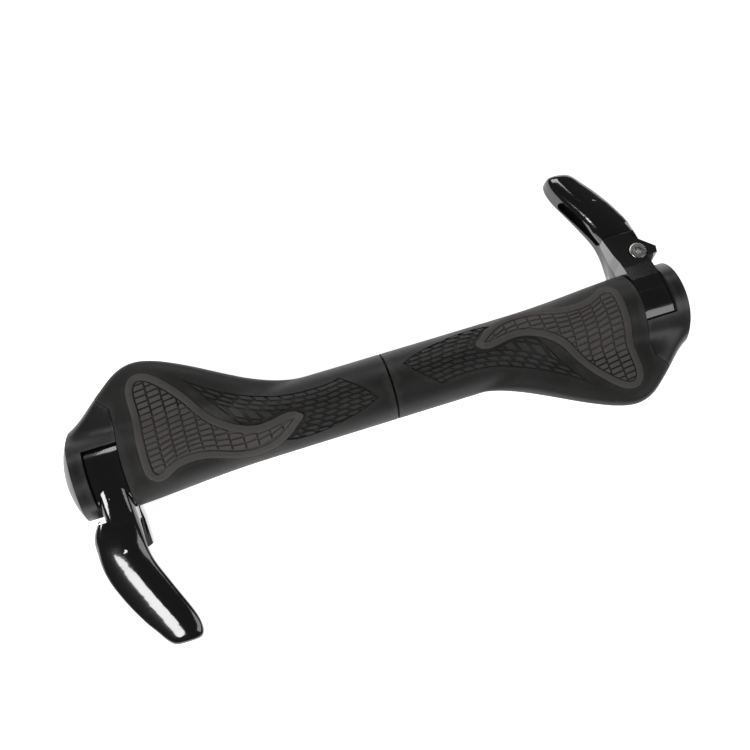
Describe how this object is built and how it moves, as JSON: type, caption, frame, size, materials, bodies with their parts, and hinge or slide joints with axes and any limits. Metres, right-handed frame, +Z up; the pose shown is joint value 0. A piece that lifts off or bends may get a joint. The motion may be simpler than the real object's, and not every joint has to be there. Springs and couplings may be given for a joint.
{
  "type": "bar end grips",
  "caption": "Left and right pair of winged rubber handlebar grips, each with a curved bar-end horn clamped in a slot by a socket bolt.",
  "frame": {"origin": "middle of the pair on the surface it lies on: under the seam between the two inner ends", "axes": "+X along the handlebar axis from the left grip to the right grip, +Z up, +Y away from a viewer in front; the left horn points to -Y and the right horn to +Y"},
  "size_m": [0.306, 0.1671, 0.04],
  "materials": {
    "sleeve_rubber": "matte charcoal-black moulded rubber",
    "pad_rubber": "matte dark-grey softer rubber",
    "core_plastic": "matte black glass-filled nylon",
    "cap_plastic": "satin dark-grey plastic",
    "horn_paint": "gloss black paint on cast aluminium",
    "washer_steel": "zinc-plated spring steel",
    "bolt_steel": "bright zinc-plated steel"
  },
  "bodies": {
    "left_grip": {"left_core": "core_plastic", "left_rubber_sleeve": "sleeve_rubber", "left_palm_pad_top": "pad_rubber", "left_palm_pad_bottom": "pad_rubber", "left_end_cap": "cap_plastic"},
    "left_bar_end": {"left_horn": "horn_paint"},
    "left_washer": {"left_lock_washer": "washer_steel"},
    "left_bolt": {"left_clamp_bolt": "bolt_steel"},
    "right_grip": {"right_core": "core_plastic", "right_rubber_sleeve": "sleeve_rubber", "right_palm_pad_top": "pad_rubber", "right_palm_pad_bottom": "pad_rubber", "right_end_cap": "cap_plastic"},
    "right_bar_end": {"right_horn": "horn_paint"},
    "right_washer": {"right_lock_washer": "washer_steel"},
    "right_bolt": {"right_clamp_bolt": "bolt_steel"}
  },
  "joints": [
    {"name": "left_horn_angle", "type": "hinge", "parent": "left_grip", "child": "left_bar_end", "pos_m": [-0.1335, 0, 0.02], "axis": [1, 0, 0], "range_deg": [-30, 30]},
    {"name": "left_bolt_travel", "type": "slide", "parent": "left_bar_end", "child": "left_washer", "axis": [0, 0.1857, -0.9826], "range_m": [0, 0.008]},
    {"name": "left_bolt_turn", "type": "hinge", "parent": "left_washer", "child": "left_bolt", "pos_m": [-0.138, -0.02283, 0.00724], "axis": [0, 0.1857, -0.9826], "range_deg": [0, 3600]},
    {"name": "right_grip_apart", "type": "slide", "parent": "left_grip", "child": "right_grip", "axis": [0, 1, 0], "range_m": [0, 0.1]},
    {"name": "right_horn_angle", "type": "hinge", "parent": "right_grip", "child": "right_bar_end", "pos_m": [0.1335, 0, 0.02], "axis": [1, 0, 0], "range_deg": [-30, 30]},
    {"name": "right_bolt_travel", "type": "slide", "parent": "right_bar_end", "child": "right_washer", "axis": [0, 0.1857, 0.9826], "range_m": [0, 0.008]},
    {"name": "right_bolt_turn", "type": "hinge", "parent": "right_washer", "child": "right_bolt", "pos_m": [0.138, 0.02591, 0.02355], "axis": [0, 0.1857, 0.9826], "range_deg": [0, 3600]}
  ],
  "couplings": [
    {"joint": "left_bolt_turn", "follows": "left_bolt_travel", "rad_per_m": 7854},
    {"joint": "right_bolt_turn", "follows": "right_bolt_travel", "rad_per_m": 7854}
  ]
}
